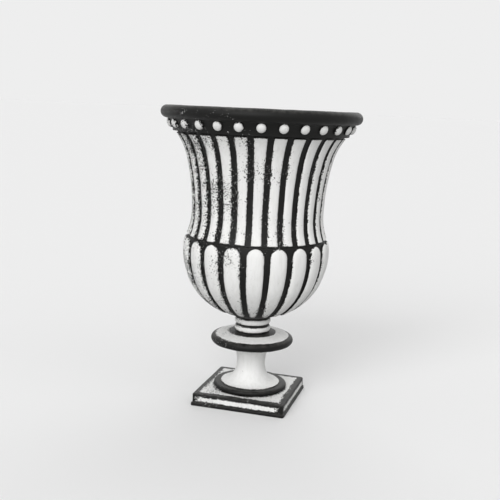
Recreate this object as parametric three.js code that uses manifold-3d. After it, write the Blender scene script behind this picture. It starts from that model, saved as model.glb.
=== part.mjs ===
// Urn planter: a campana-form garden urn of cast iron. Seven castings stand on each other: a square
// plinth, a trumpet stem, a knop, a ringed collar, a lobed belly, a reeded bell and a beaded rim.
// One tie rod draws the lower five together. Bolts through inner flanges join belly and bell, and
// screws through an inner ledge hold the rim down.
// Millimetres, +Z up. The origin is on the ground, under the middle of the plinth.

import * as THREE from "three";
import { mergeVertices } from "three/addons/utils/BufferGeometryUtils.js";
import Module from "manifold-3d";

const wasm = await Module();
wasm.setup();

// ---- Driving dimensions, in millimetres unless the comment says otherwise ----

// How pieces meet
const seatGap = 0.3; // bedding between two castings, and under every head, nut and washer
const registerGap = 0.4; // all round a register, the low ring that centres one casting in the next
const registerHeight = 4;
const threadGap = 0.3; // between a thread and its nut or tapped hole
const shankGap = 0.5; // between a shank and its clearance hole
const overrun = 1; // how far a cut, or a body that is joined on, runs past the face that it meets

// Tie rod, bolts and screws
const rodRadius = 8;
const rodTail = 4; // rod beyond each nut
const rodAcross = 24; // across the flats of its nuts
const rodNutHeight = 13;
const rodThinNutHeight = 8; // the nut under the plinth's plate, thin to stay clear of the ground
const washerRadius = 17;
const washerHeight = 3;
const boltRadius = 5;
const boltAcross = 17; // across the flats of head and nut
const boltHeadHeight = 6.4;
const boltNutHeight = 8;
const boltTail = 3; // bolt beyond its nut
const screwRadius = 4;
const screwAcross = 13;
const screwHeadHeight = 5.3;
const waistBolts = 6;
const rimScrews = 6;
const flangeHeight = 9;
const flangeEdge = 10; // from a bolt's or screw's axis to the flange's free edge

// The way for draining water, round the tie rod
const drainRadius = 4.5;
const drainHoles = 4;
const drainMargin = 2.5; // between a drain hole and the rod's washer
const bossWall = 4.1; // between a drain hole and the edge of the belly's boss

// Collar: it fits round that boss
const collarWall = 8; // behind the hollows beside the rings
const collarGroove = 6; // depth of those hollows
const collarRings = 2;
const collarHeight = 39;
const ringFillet = 2; // at the bottom of a hollow

// Knop
const knopRadius = 107;
const knopHeight = 41;
const knopEdge = 20; // thickness of the round edge
const shoulderStep = 3; // how far the seats of knop and stem stand out beyond the collar
const registerWall = 8.6; // of the registers on top of knop and stem

// Stem
const stemHeight = 107;
const stemWall = 13; // at the waist
const stemWaistHeight = 65; // above the underside of the stem
const stemHeadHeight = 6;
const footRadius = 95;
const footHeight = 14; // the round edge that the trumpet stands on
const footStep = 20; // from that edge in to the trumpet
const stemFillet = 2; // square step between that edge and the trumpet's sweep

// Plinth
const plinthLedge = 27; // top of the plinth, out beyond the stem's foot
const plinthHeight = 32;
const plinthWall = 9;
const plinthPlate = 9; // thickness of the plate that the stem stands on
const plinthRingWall = 10; // of the register that centres the stem
const plinthCorner = 5; // radius of the four upright corners
const plinthBandHeight = 9; // low band round the ground line
const plinthBandStep = 3; // how far that band stands out
const plinthArris = 4; // slope along the top edge

// Belly: a ball's lower half and a little more, with lobes on it
const bellyRadius = 187; // of the ball that the lobes reach
const bellySeamRise = 34; // from the ball's middle up to the seam
const bellyNeckHeight = 2; // plain neck under the ball
const bellyWall = 6;
const bellyFloor = 12;
const lobeCount = 20;
const lobeTurn = 15; // degrees from the front round to the middle of a lobe
const lobeRelief = 9;
const lobeGap = 13; // between two lobes, near their tops
const lobeTipGap = 9; // between two lobes, at the neck
const lobeMargin = 2.5; // plain ground between the lobes and the seam
const lobeFootMargin = 42; // plain ground between the neck and the lobes
const lobeTipRise = 14; // length of a lobe's rounded lower end
const lobeTipRelief = 0.45; // share of the relief that the lower end has

// Bell: a short arc up to the waist, a long slack one above it, and one that flares under the rim
const bellHeight = 260.3;
const bellWaistHeight = 62; // above the seam
const bellWaistDraw = 13; // how far the waist draws in from the foot
const bellBodyBend = 560; // radius of the long arc
const bellFlareHeight = 62; // how much of the top flares out
const bellFlareBend = 165; // radius of the flare's arc
const bellWall = 6;
const reedCount = 28; // with a bead over each on the rim
const reedTurn = 15; // degrees from the front round to the middle of a reed and its bead
const reedRelief = 6;
const reedGap = 12.5; // between two reeds, at the ground
const reedMargin = 3; // plain ground above and below the reeds
const reedDraft = 3; // height over which a reed's end slopes down to the ground

// Rim: a round lip over a hollow band with beads in it
const rimOverhang = 36; // how far the lip stands out beyond the bell
const rimHeight = 62;
const rimWall = 7;
const lipHeight = 32;
const lipUnder = 1; // flat under the lip, from its round edge in to the band
const lipLand = 15; // width of the flat on top of the lip
const lipArris = 6; // slope along the inner top edge
const bandStep = 5; // how far the band's foot stands out beyond the bell
const bandFillet = 2; // upright edge at the band's foot
const bandSag = 3; // depth of the band's hollow
const ledgeHeight = 10;
const spigotWall = 7; // of the ring that centres the rim in the bell
const beadWidth = 23;
const beadHeight = 25;
const beadRelief = 10;
const beadLift = 3; // how far the beads stand above the middle of the band

const wideSteps = 40; // facets round the rim and the inside of the bowl
const slenderSteps = 24; // facets round knop, stem, collar and registers
const washerSteps = 16;
const holeSteps = 8;
const beadSteps = 8;

// ---- Sizes that follow from them ----

const tau = 2 * Math.PI;
const degrees = 180 / Math.PI;
const blend = (a, b, t) => a + (b - a) * t;

const drainCircle = washerRadius + drainMargin + drainRadius;
const bossRadius = drainCircle + drainRadius + bossWall; // also of the registers under belly and knop
const collarBore = bossRadius + registerGap;
const collarCore = collarBore + collarWall;
const collarRadius = collarCore + collarGroove;
const shoulderRadius = collarRadius + shoulderStep;
const boreRadius = bossRadius - registerWall; // drain way through stem and knop
const stemWaistRadius = boreRadius + stemWall;
const trumpetFoot = footRadius - footStep;
const plinthSide = 2 * (footRadius + plinthLedge);

const bellyGround = bellyRadius - lobeRelief;
const neckAngle = Math.asin(collarRadius / bellyGround); // up from straight down, as are the next two
const seamAngle = Math.PI / 2 + Math.asin(bellySeamRise / bellyGround);
const bellFootRadius = bellyGround * Math.sin(seamAngle) + reedRelief; // grounds flush at the seam
const bellWaistRadius = bellFootRadius - bellWaistDraw;
const bellSkirtBend = (bellWaistHeight ** 2 + bellWaistDraw ** 2) / (2 * bellWaistDraw);
const bellFlareStart = bellHeight - bellFlareHeight;

/** Outer radius of the bell over its reeds, at a height above the seam. */
function bellRadius(height) {
  const rise = Math.min(height, bellFlareStart) - bellWaistHeight;
  const bend = rise > 0 ? bellBodyBend : bellSkirtBend;
  const body = bellWaistRadius + bend - Math.sqrt(bend ** 2 - rise ** 2);
  if (height <= bellFlareStart) return body;
  // the flare goes on from the body's slope with a tighter bend
  const startSine = rise / bend;
  const sine = startSine + (height - bellFlareStart) / bellFlareBend;
  return body + bellFlareBend * (Math.sqrt(1 - startSine ** 2) - Math.sqrt(1 - sine ** 2));
}

const bellTopRadius = bellRadius(bellHeight);
const waistBoltCircle = bellWaistRadius - reedRelief - bellWall - boltAcross / 2;
const waistFlangeRadius = waistBoltCircle - flangeEdge; // clear way through the flanges at the seam
const rimScrewCircle = bellTopRadius - reedRelief - bellWall - screwAcross;
const rimFlangeRadius = rimScrewCircle - flangeEdge; // clear way through the bell's top flange
const rimRadius = bellTopRadius + rimOverhang;

// ---- Levels, from the ground up ----

const stemSeat = plinthHeight + seatGap;
const knopSeat = stemSeat + stemHeight + seatGap;
const collarSeat = knopSeat + knopHeight + seatGap;
const bellySeat = collarSeat + collarHeight + seatGap;
const bellyMiddle = bellySeat + bellyNeckHeight + bellyGround * Math.cos(neckAngle);
const bellyTop = bellyMiddle + bellySeamRise;
const bellSeat = bellyTop + seatGap;
const bellTop = bellSeat + bellHeight;
const rimSeat = bellTop + seatGap;
const rimTop = rimSeat + rimHeight;

// ---- Making shapes ----

/** Points on an arc in the plane of radius and height, angles in degrees from the outward direction. */
function arc(centre, radii, from, to, steps) {
  return Array.from({ length: steps + 1 }, (_, i) => {
    const angle = blend(from, to, i / steps) / degrees;
    return [centre[0] + radii[0] * Math.cos(angle), centre[1] + radii[1] * Math.sin(angle)];
  });
}

/** A closed outline of [radius, height] points, anticlockwise, turned about the upright axis. */
function revolve(outline, steps) {
  const onAxis = outline[0][0] === 0 && outline.at(-1)[0] === 0;
  const closed = onAxis ? outline : [...outline, outline[0]];
  const points = closed.map(([r, z]) => new THREE.Vector2(r, z));
  return solid(new THREE.LatheGeometry(points, steps).rotateX(Math.PI / 2));
}

/** A solid with a skin over rings of [x, y, z] points, anticlockwise from above, lowest ring first. */
function loft(rings) {
  const around = rings[0].length;
  const positions = rings.flat(2);
  const faces = [];
  const next = (j) => (j + 1) % around;
  for (let low = 0; low < (rings.length - 1) * around; low += around) {
    for (let j = 0; j < around; j++) {
      faces.push(low + j, low + next(j), low + next(j) + around);
      faces.push(low + j, low + next(j) + around, low + j + around);
    }
  }
  const top = (rings.length - 1) * around;
  const lowMiddle = positions.length / 3;
  positions.push(0, 0, rings[0][0][2], 0, 0, rings.at(-1)[0][2]);
  for (let j = 0; j < around; j++) {
    faces.push(lowMiddle, next(j), j);
    faces.push(lowMiddle + 1, top + j, top + next(j));
  }
  const geometry = new THREE.BufferGeometry();
  geometry.setAttribute("position", new THREE.Float32BufferAttribute(positions, 3));
  geometry.setIndex(faces);
  return solid(geometry);
}

/** The geometry as a solid that can be joined and cut. */
function solid(geometry) {
  geometry.deleteAttribute("normal");
  geometry.deleteAttribute("uv");
  const merged = mergeVertices(geometry, 1e-4);
  return new wasm.Manifold(
    new wasm.Mesh({
      numProp: 3,
      vertProperties: merged.attributes.position.array,
      triVerts: new Uint32Array(merged.index.array),
    }),
  );
}

/** A solid as a geometry that a mesh can show. */
function geometryOf(body) {
  const { vertProperties, triVerts } = body.getMesh();
  const geometry = new THREE.BufferGeometry();
  geometry.setAttribute("position", new THREE.BufferAttribute(vertProperties, 3));
  geometry.setIndex(new THREE.BufferAttribute(triVerts, 1));
  const faceted = geometry.toNonIndexed();
  faceted.computeVertexNormals();
  return faceted;
}

/** An upright bar between two heights, its axis at x, y. */
function bar(radius, low, high, steps, x = 0, y = 0) {
  const geometry = new THREE.CylinderGeometry(radius, radius, high - low, steps);
  return solid(geometry.rotateX(Math.PI / 2).translate(x, y, (low + high) / 2));
}

/** Places spread evenly on a circle round the axis, the first one turned from the front by degrees. */
function circle(count, radius, turn = 180 / count) {
  return Array.from({ length: count }, (_, i) => {
    const angle = (i * tau) / count + turn / degrees - Math.PI / 2;
    return [radius * Math.cos(angle), radius * Math.sin(angle)];
  });
}

/**
 * The body less an upright hole at each place, from one height to another and a little beyond. The
 * flats of the faceted hole stand at the radius, so that a round shank of that size passes.
 */
function drilled(body, places, radius, low, high) {
  const reach = radius / Math.cos(Math.PI / holeSteps);
  return places.reduce(
    (left, [x, y]) => left.subtract(bar(reach, low - overrun, high + overrun, holeSteps, x, y)),
    body,
  );
}

/** A rounded square ring of points, with the given half side, at one height. */
function squareRing(half, corner, z) {
  const ring = [];
  const cornerSteps = 2;
  for (let quarter = 0; quarter < 4; quarter++) {
    const turn = ((quarter + 0.5) * Math.PI) / 2;
    const reach = (half - corner) * Math.SQRT2;
    for (let i = 0; i <= cornerSteps; i++) {
      const angle = ((quarter + i / cornerSteps) * Math.PI) / 2;
      const x = reach * Math.cos(turn) + corner * Math.cos(angle);
      const y = reach * Math.sin(turn) + corner * Math.sin(angle);
      ring.push([x, y, z]);
    }
  }
  return ring;
}

// ---- Relief: raised bands, which are the bell's reeds and the belly's lobes ----

// Across one band: how far from its middle, as a share of half its width, and the share of its height.
// Reeds are nearly flat on top, and lobes are round.
const reedSection = [
  [-1, 0],
  [-0.75, 0.9],
  [0.75, 0.9],
  [1, 0],
];
const lobeSection = [
  [-1, 0],
  [-0.8, 0.7],
  [0, 1],
  [0.8, 0.7],
  [1, 0],
];

/**
 * Angles and heights once round the axis for a row of raised bands with a section. The first band's
 * middle is at an angle, each is halfWidth radians to either side of its middle, and the ground between
 * stays plain.
 */
function bandRow(section, count, firstMiddle, halfWidth, relief) {
  const row = [];
  for (let band = 0; band < count; band++) {
    const middle = firstMiddle + (band * tau) / count;
    for (const [across, rise] of section) {
      row.push({ angle: middle + across * halfWidth, rise: rise * relief });
    }
  }
  return row;
}

// ---- Castings ----

/** Plinth: a square shell, open below, with a plate on top and a register for the stem. */
function makePlinth() {
  const half = plinthSide / 2;
  const dieHalf = half - plinthBandStep;
  const pocketHalf = dieHalf - plinthWall;
  const pocketTop = plinthHeight - plinthPlate;
  const outside = loft([
    squareRing(half, plinthCorner, 0),
    squareRing(half, plinthCorner, plinthBandHeight - plinthBandStep),
    squareRing(dieHalf, plinthCorner, plinthBandHeight),
    squareRing(dieHalf, plinthCorner, plinthHeight - plinthArris),
    squareRing(dieHalf - plinthArris, plinthCorner, plinthHeight),
  ]);
  const pocket = loft([
    squareRing(pocketHalf, plinthCorner, -overrun),
    squareRing(pocketHalf, plinthCorner, pocketTop),
  ]);
  const ringOuter = trumpetFoot - registerGap;
  const ringInner = ringOuter - plinthRingWall;
  const ring = revolve(
    [
      [ringInner, plinthHeight - overrun],
      [ringOuter, plinthHeight - overrun],
      [ringOuter, plinthHeight + registerHeight],
      [ringInner, plinthHeight + registerHeight],
    ],
    slenderSteps,
  );
  const shell = outside.subtract(pocket).add(ring);
  const bored = drilled(shell, [[0, 0]], rodRadius + shankGap, pocketTop, plinthHeight);
  return drilled(bored, circle(drainHoles, drainCircle), drainRadius, pocketTop, plinthHeight);
}

/** Stem: a hollow trumpet that sweeps out from a slender waist to a round-edged foot. */
function makeStem() {
  const waist = stemSeat + stemWaistHeight;
  const top = stemSeat + stemHeight;
  const edge = (footHeight - stemFillet) / 2;
  const footTop = stemSeat + footHeight;
  const sweep = [trumpetFoot - stemWaistRadius, stemWaistHeight - footHeight];
  const headSweep = [shoulderRadius - stemWaistRadius, stemHeight - stemHeadHeight - stemWaistHeight];
  const hollowFoot = stemSeat + registerHeight + seatGap;
  const hollowSweep = [trumpetFoot - boreRadius, waist - hollowFoot];
  const outline = [
    [trumpetFoot, stemSeat],
    ...arc([footRadius - edge, stemSeat + edge], [edge, edge], -90, 90, 4),
    [trumpetFoot + stemFillet, footTop - stemFillet],
    [trumpetFoot + stemFillet, footTop],
    ...arc([trumpetFoot, waist], sweep, 270, 180, 6),
    ...arc([shoulderRadius, waist], headSweep, 180, 90, 3).slice(1),
    [shoulderRadius, top],
    [bossRadius, top],
    [bossRadius, top + registerHeight],
    [boreRadius, top + registerHeight],
    ...arc([trumpetFoot, waist], hollowSweep, 180, 270, 4),
  ];
  return revolve(outline, slenderSteps);
}

/** Knop: a lens-shaped disc with a round edge, between stem and collar. */
function makeKnop() {
  const top = knopSeat + knopHeight;
  const middle = knopSeat + knopHeight / 2;
  const edge = knopEdge / 2;
  const counterbore = knopSeat + registerHeight + seatGap;
  const slope = Math.atan2(knopHeight / 2 - edge, knopRadius - edge - shoulderRadius) * degrees;
  const outline = [
    [collarBore, knopSeat],
    [shoulderRadius, knopSeat],
    ...arc([knopRadius - edge, middle], [edge, edge], slope - 90, 90 - slope, 4),
    [shoulderRadius, top],
    [bossRadius, top],
    [bossRadius, top + registerHeight],
    [boreRadius, top + registerHeight],
    [boreRadius, counterbore],
    [collarBore, counterbore],
  ];
  return revolve(outline, slenderSteps);
}

/** Collar: a short tube with round rings, between knop and belly. */
function makeCollar() {
  const pitch = collarHeight / collarRings;
  const ring = [collarGroove, pitch / 2 - ringFillet];
  const outside = [];
  for (let i = 0; i < collarRings; i++) {
    outside.push([collarCore, collarSeat + i * pitch]);
    outside.push(...arc([collarCore, collarSeat + (i + 0.5) * pitch], ring, -90, 90, 4));
  }
  const top = collarSeat + collarHeight;
  return revolve([[collarBore, collarSeat], ...outside, [collarCore, top], [collarBore, top]], slenderSteps);
}

/** Belly: the lobed lower half of the bowl, with a flat floor, drain holes and a bolting flange. */
function makeBelly() {
  const tipEnd = neckAngle + lobeFootMargin / bellyGround;
  const tipTop = tipEnd + lobeTipRise / bellyGround;
  const archTop = seamAngle - lobeMargin / bellyGround;
  const archRise = ((tau * bellyGround) / lobeCount - lobeGap) / 2;
  const springing = archTop - archRise / bellyGround;

  // each row of the skin: its angle up from straight down, the share of a lobe's width and of its relief
  const rows = [{ up: neckAngle, width: 1, relief: 0 }];
  const tipRows = [0.2, 1];
  for (const t of tipRows) {
    const width = Math.sqrt(1 - (1 - t) ** 2);
    rows.push({ up: blend(tipEnd, tipTop, t), width, relief: lobeTipRelief * width });
  }
  const bodyRows = 4;
  for (let i = 1; i <= bodyRows; i++) {
    const t = i / bodyRows;
    const relief = blend(lobeTipRelief, 1, Math.min(1, 2 * t));
    rows.push({ up: blend(tipTop, springing, t), width: 1, relief });
  }
  const archRows = [0.5, 0.85, 0.98];
  for (const t of archRows) {
    const width = Math.sqrt(1 - t ** 2);
    rows.push({ up: blend(springing, archTop, t), width, relief: Math.sqrt(width) });
  }
  rows.push({ up: archTop, width: 1, relief: 0 });
  rows.push({ up: seamAngle, width: 1, relief: 0 });

  const firstLobe = lobeTurn / degrees - Math.PI / 2;
  const rings = rows.map(({ up, width, relief }) => {
    const gap = blend(lobeTipGap, lobeGap, Math.min(1, (up - neckAngle) / (springing - neckAngle)));
    const halfWidth = (Math.PI / lobeCount - gap / 2 / (bellyGround * Math.sin(up))) * width;
    const row = bandRow(lobeSection, lobeCount, firstLobe, halfWidth, lobeRelief * relief);
    return row.map(({ angle, rise }) => {
      const reach = bellyGround + rise;
      const r = reach * Math.sin(up);
      return [r * Math.cos(angle), r * Math.sin(angle), bellyMiddle - reach * Math.cos(up)];
    });
  });
  const neck = rings[0].map(([x, y]) => [x, y, bellySeat]);
  const outside = loft([neck, ...rings]);

  const hollow = bellyGround - bellyWall;
  const floor = bellySeat + bellyFloor;
  const flangeUnder = bellyTop - flangeHeight;
  const hollowFrom = Math.asin((floor - bellyMiddle) / hollow) * degrees;
  const hollowTo = Math.asin((flangeUnder - bellyMiddle) / hollow) * degrees;
  const inside = revolve(
    [
      [0, floor],
      ...arc([0, bellyMiddle], [hollow, hollow], hollowFrom, hollowTo, 6),
      [waistFlangeRadius, flangeUnder],
      [waistFlangeRadius, bellyTop + overrun],
      [0, bellyTop + overrun],
    ],
    wideSteps,
  );
  const under = bellySeat - registerHeight;
  const boss = bar(bossRadius, under, floor - overrun, slenderSteps);
  const bowl = outside.subtract(inside).add(boss);
  const bored = drilled(bowl, [[0, 0]], rodRadius + shankGap, under, floor);
  const drained = drilled(bored, circle(drainHoles, drainCircle), drainRadius, under, floor);
  const bolts = circle(waistBolts, waistBoltCircle);
  return drilled(drained, bolts, boltRadius + shankGap, flangeUnder, bellyTop);
}

/** Bell: the reeded upper half of the bowl, with a bolting flange at each end. */
function makeBell() {
  const reedLow = reedMargin + reedDraft;
  const reedHigh = bellHeight - reedMargin - reedDraft;
  const bodyMiddle = (bellWaistHeight + bellFlareStart) / 2;
  const flareMiddle = (bellFlareStart + reedHigh) / 2;
  const bends = [bellWaistHeight, bodyMiddle, bellFlareStart, flareMiddle];
  // each row of the skin: its height above the seam, and whether the reeds stand proud there
  const rows = [
    [0, 0],
    [reedMargin, 0],
    [reedLow, 1],
    ...bends.map((height) => [height, 1]),
    [reedHigh, 1],
    [bellHeight - reedMargin, 0],
    [bellHeight, 0],
  ];
  const firstReed = reedTurn / degrees - Math.PI / 2;
  const rings = rows.map(([height, proud]) => {
    const ground = bellRadius(height) - reedRelief;
    const halfWidth = Math.PI / reedCount - reedGap / 2 / ground;
    const row = bandRow(reedSection, reedCount, firstReed, halfWidth, reedRelief * proud);
    return row.map(({ angle, rise }) => {
      const r = ground + rise;
      return [r * Math.cos(angle), r * Math.sin(angle), bellSeat + height];
    });
  });

  const hollow = [flangeHeight, ...bends, bellHeight - flangeHeight];
  const flangeUnder = bellTop - flangeHeight;
  const flangeTop = bellSeat + flangeHeight;
  const inside = revolve(
    [
      [0, bellSeat - overrun],
      [waistFlangeRadius, bellSeat - overrun],
      [waistFlangeRadius, flangeTop],
      ...hollow.map((height) => [bellRadius(height) - reedRelief - bellWall, bellSeat + height]),
      [rimFlangeRadius, flangeUnder],
      [rimFlangeRadius, bellTop + overrun],
      [0, bellTop + overrun],
    ],
    wideSteps,
  );
  const shell = loft(rings).subtract(inside);
  const bolts = circle(waistBolts, waistBoltCircle);
  const bolted = drilled(shell, bolts, boltRadius + shankGap, bellSeat, flangeTop);
  const screws = circle(rimScrews, rimScrewCircle);
  return drilled(bolted, screws, screwRadius + threadGap, flangeUnder, bellTop);
}

/** Rim: a round lip over a hollow band of beads, with a ledge and a spigot inside. */
function makeRim() {
  const lip = lipHeight / 2;
  const foot = [bellTopRadius + bandStep, rimSeat + bandFillet];
  const head = [rimRadius - lip - lipUnder, rimTop - lipHeight];
  const run = [head[0] - foot[0], head[1] - foot[1]];
  const length = Math.hypot(...run);
  // a point of the band's hollow face, at a share of its length from foot to head
  const onBand = (t) => {
    const dip = (bandSag * Math.sin(Math.PI * t)) / length;
    return [foot[0] + run[0] * t - run[1] * dip, foot[1] + run[1] * t + run[0] * dip];
  };
  const ledge = rimSeat + ledgeHeight;
  const landInner = rimRadius - lip - lipLand;
  const spigotOuter = rimFlangeRadius - registerGap;
  const spigotInner = spigotOuter - spigotWall;
  const outline = [
    [spigotOuter, rimSeat],
    [foot[0], rimSeat],
    ...[0, 0.5, 1].map(onBand),
    ...arc([rimRadius - lip, rimTop - lip], [lip, lip], -90, 90, 6),
    [landInner, rimTop],
    [landInner - lipArris, rimTop - lipArris],
    [foot[0] - rimWall, ledge],
    [spigotInner, ledge],
    [spigotInner, rimSeat - registerHeight],
    [spigotOuter, rimSeat - registerHeight],
  ];
  const hoop = revolve(outline, wideSteps);
  const [beadCircle, beadLevel] = onBand(0.5 + beadLift / length);
  const lean = Math.atan2(run[0], run[1]);
  const beaded = circle(reedCount, beadCircle, reedTurn).reduce((body, [x, y]) => {
    const bead = new THREE.SphereGeometry(1, beadSteps, beadSteps / 2).rotateX(Math.PI / 2);
    bead.scale(beadRelief, beadWidth / 2, beadHeight / 2).rotateY(lean);
    bead.rotateZ(Math.atan2(y, x)).translate(x, y, beadLevel);
    return body.add(solid(bead));
  }, hoop);
  return drilled(beaded, circle(rimScrews, rimScrewCircle), screwRadius + shankGap, rimSeat, ledge);
}

// ---- Fasteners, each standing on the axis ----

const hexagonReach = (across) => across / Math.sqrt(3); // from the middle to a corner

/** A hexagon-headed bolt, pointing down, with the underside of its head at a height. */
function makeBolt(radius, across, headHeight, length, under) {
  const head = bar(hexagonReach(across), under, under + headHeight, 6);
  return head.add(bar(radius, under - length, under + headHeight / 2, holeSteps));
}

/** A hexagon nut on a thread of the given radius. */
function makeNut(radius, across, height, low) {
  const blank = bar(hexagonReach(across), low, low + height, 6);
  return drilled(blank, [[0, 0]], radius + threadGap, low, low + height);
}

/** A round washer on a rod of the given radius. */
function makeWasher(radius, low) {
  const high = low + washerHeight;
  return drilled(bar(washerRadius, low, high, washerSteps), [[0, 0]], radius + threadGap, low, high);
}

// ---- Assembly ----

const paintedIron = () => new THREE.MeshStandardMaterial({ color: 0xe4e2da, roughness: 0.7, metalness: 0 });
const blackIron = () => new THREE.MeshStandardMaterial({ color: 0x1d1d1c, roughness: 0.55, metalness: 0.1 });
const zincSteel = () => new THREE.MeshStandardMaterial({ color: 0x77746e, roughness: 0.5, metalness: 0.8 });

const urn = new THREE.Group();

function place(name, body, material, x = 0, y = 0) {
  const mesh = new THREE.Mesh(geometryOf(body), material);
  mesh.name = name;
  mesh.position.set(x, y, 0);
  urn.add(mesh);
}

place("plinth", makePlinth(), paintedIron());
place("stem", makeStem(), paintedIron());
place("knop", makeKnop(), paintedIron());
place("collar", makeCollar(), paintedIron());
place("belly", makeBelly(), paintedIron());
place("bell", makeBell(), paintedIron());
place("rim", makeRim(), blackIron());

// the tie rod, drawn tight between the belly's floor and the underside of the plinth's plate
const topWasher = bellySeat + bellyFloor + seatGap;
const topNut = topWasher + washerHeight + seatGap;
const lowWasher = plinthHeight - plinthPlate - seatGap - washerHeight;
const lowNut = lowWasher - seatGap - rodThinNutHeight;
const rodTop = topNut + rodNutHeight + rodTail;
place("tie_rod", bar(rodRadius, lowNut - rodTail, rodTop, washerSteps), zincSteel());
place("rod_washer_top", makeWasher(rodRadius, topWasher), zincSteel());
place("rod_nut_top", makeNut(rodRadius, rodAcross, rodNutHeight, topNut), zincSteel());
place("rod_washer_bottom", makeWasher(rodRadius, lowWasher), zincSteel());
place("rod_nut_bottom", makeNut(rodRadius, rodAcross, rodThinNutHeight, lowNut), zincSteel());

const boltSeat = bellSeat + flangeHeight + seatGap;
const nutLow = bellyTop - flangeHeight - seatGap - boltNutHeight;
const boltLength = boltSeat - nutLow + boltTail;
circle(waistBolts, waistBoltCircle).forEach(([x, y], i) => {
  const bolt = makeBolt(boltRadius, boltAcross, boltHeadHeight, boltLength, boltSeat);
  place(`waist_bolt_${i + 1}`, bolt, zincSteel(), x, y);
  place(`waist_nut_${i + 1}`, makeNut(boltRadius, boltAcross, boltNutHeight, nutLow), zincSteel(), x, y);
});

const screwSeat = rimSeat + ledgeHeight + seatGap;
const screwLength = screwSeat - (bellTop - flangeHeight);
circle(rimScrews, rimScrewCircle).forEach(([x, y], i) => {
  const screw = makeBolt(screwRadius, screwAcross, screwHeadHeight, screwLength, screwSeat);
  place(`rim_screw_${i + 1}`, screw, zincSteel(), x, y);
});

export default urn;
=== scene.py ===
# %% [markdown]
# # A cast-iron garden urn, brushed white over black
#
# The urn arrives as a frame: seven castings and their fasteners, each at its real size and in its place.
# Here every one of them gets a finer skin over that place, and a finish made of nodes. Nothing is moved
# or resized, so the skins take their levels and widths from the frame.

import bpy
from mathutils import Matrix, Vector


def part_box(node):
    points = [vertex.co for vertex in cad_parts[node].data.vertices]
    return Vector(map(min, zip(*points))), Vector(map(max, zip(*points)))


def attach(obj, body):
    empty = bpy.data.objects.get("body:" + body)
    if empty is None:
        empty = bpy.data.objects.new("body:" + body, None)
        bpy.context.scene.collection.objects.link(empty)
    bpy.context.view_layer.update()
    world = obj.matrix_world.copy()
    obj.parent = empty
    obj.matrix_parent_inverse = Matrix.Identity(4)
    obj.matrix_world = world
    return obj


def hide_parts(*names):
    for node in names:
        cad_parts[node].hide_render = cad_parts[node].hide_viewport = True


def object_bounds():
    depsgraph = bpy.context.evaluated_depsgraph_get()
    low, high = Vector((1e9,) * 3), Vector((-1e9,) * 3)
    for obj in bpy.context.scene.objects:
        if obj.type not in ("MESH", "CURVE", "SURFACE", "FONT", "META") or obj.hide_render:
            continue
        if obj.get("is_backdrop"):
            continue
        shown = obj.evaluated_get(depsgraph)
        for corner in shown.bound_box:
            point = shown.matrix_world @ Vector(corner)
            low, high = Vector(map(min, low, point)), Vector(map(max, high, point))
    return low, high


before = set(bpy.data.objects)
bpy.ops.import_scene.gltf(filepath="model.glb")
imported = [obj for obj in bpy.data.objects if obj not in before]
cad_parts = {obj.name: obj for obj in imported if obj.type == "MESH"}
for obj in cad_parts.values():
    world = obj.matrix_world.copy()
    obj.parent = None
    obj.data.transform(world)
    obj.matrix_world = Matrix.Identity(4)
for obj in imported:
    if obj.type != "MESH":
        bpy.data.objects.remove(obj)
cad_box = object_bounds()
print("the frame spans, in metres:", [[round(value, 4) for value in corner] for corner in cad_box])

# %% [markdown]
# ## Tools and units
#
# Blender works in metres, and a founder's drawing is in millimetres, so lengths are written as a number
# times `mm`. Rings of points are numpy arrays, because a lobed bowl has tens of thousands of them.

# %% Tools and units
import math

import bpy
import numpy as np
from mathutils import Matrix, Vector

mm = 0.001
tau = 2 * math.pi
print("millimetre:", mm, "m")

# %% [markdown]
# ## The camera
#
# The camera stands level with the rim, so the rim shows as a straight bar and its opening stays hidden,
# and it looks down a little to take in the plinth. It stands 15 degrees round to the urn's right, which
# turns the plinth's corner to it. The focal length is given as the number of pixels that a metre covers at
# a metre's distance, and turned into the lens that Blender asks for.

# %% The camera
picture_width = 500  # pixels
focal_pixels = 808
view_turn = math.radians(15)
view_distance = 2.04
view_drop = math.radians(9.97)
view_pan = math.radians(0.42)
view_roll = math.radians(2.5)
view_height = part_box("rim")[1].z

camera_data = bpy.data.cameras.new("camera")
camera_data.lens = camera_data.sensor_width * focal_pixels / picture_width
camera = bpy.data.objects.new("camera", camera_data)
bpy.context.scene.collection.objects.link(camera)
stand = Vector((math.sin(view_turn), -math.cos(view_turn), 0)) * view_distance
camera.matrix_world = (
    Matrix.Translation(stand + Vector((0, 0, view_height)))
    @ Matrix.Rotation(view_turn + view_pan, 4, "Z")
    @ Matrix.Rotation(math.pi / 2 - view_drop, 4, "X")
    @ Matrix.Rotation(view_roll, 4, "Z")
)
bpy.context.scene.camera = camera
print(f"lens {camera_data.lens:.1f} mm, {view_distance} m from the urn's axis")

# %% [markdown]
# ## Skins from rings
#
# A casting that is turned or evenly patterned is a stack of rings with the same number of points. Joined
# ring to ring they make a skin of four-sided faces, which shades smoothly and can be measured row by row.
# Every casting here has a hole down its middle, so its skin runs up the outside, down the inside and back
# to where it began, and needs no caps. Bolts and beads are stacks that end in a cap.

# %% Skins from rings
def skin(rings, closed=True):
    """Points and faces over rings that run anticlockwise seen from above, the lowest outer one first."""
    rings = np.asarray(rings, float)
    rows, around = rings.shape[:2]
    index = np.arange(rows * around).reshape(rows, around)
    low = index if closed else index[:-1]
    high = np.roll(index, -1, axis=0) if closed else index[1:]
    quads = np.stack([low, np.roll(low, -1, axis=1), np.roll(high, -1, axis=1), high], axis=-1)
    faces = quads.reshape(-1, 4).tolist()
    if not closed:
        faces += [index[0][::-1].tolist(), index[-1].tolist()]
    return rings.reshape(-1, 3), faces


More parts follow.
